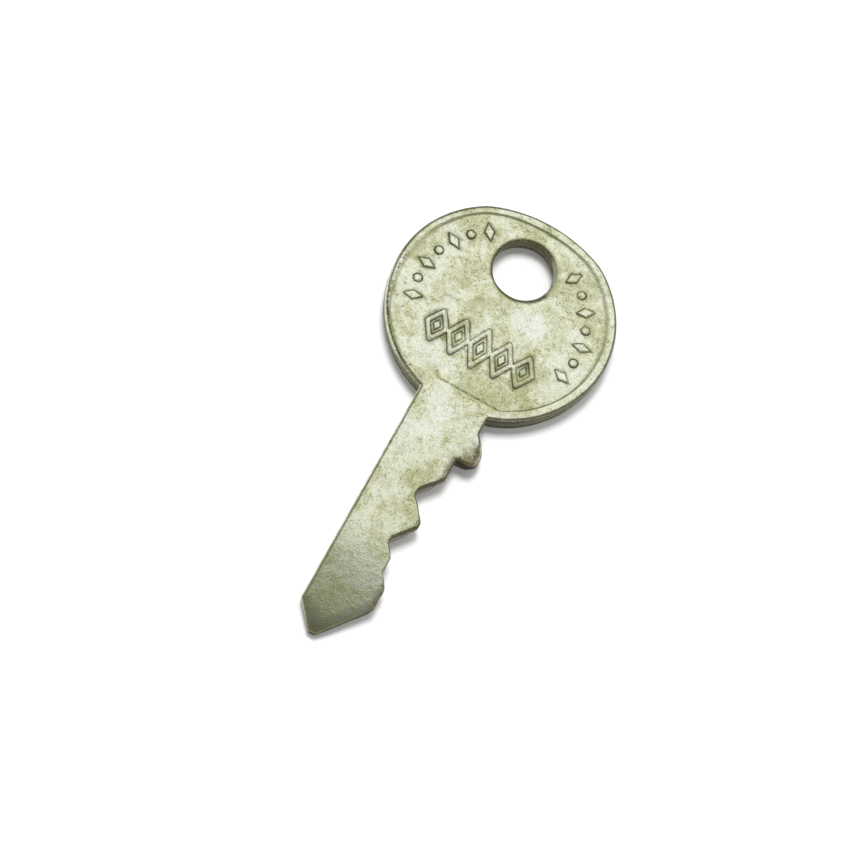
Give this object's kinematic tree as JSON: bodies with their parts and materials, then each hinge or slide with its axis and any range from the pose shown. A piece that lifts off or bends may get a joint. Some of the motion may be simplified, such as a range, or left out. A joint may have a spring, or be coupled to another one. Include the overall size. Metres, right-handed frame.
{
  "type": "key",
  "caption": "Flat metal key with a round coined bow, a key ring hole, a stop lug and a blade with cuts along one edge that ends in a thinned point.",
  "frame": {"origin": "half way along the key's length, on the bow's centre line, on the underside", "axes": "+Y towards the bow's end, +X towards the edge with the cuts, +Z from the underside up through the upper face"},
  "size_m": [0.0232, 0.0494, 0.0025],
  "materials": {
    "nickel_silver": "worn satin, lightly tarnished"
  },
  "bodies": {
    "root": {"key": "nickel_silver"}
  },
  "joints": []
}
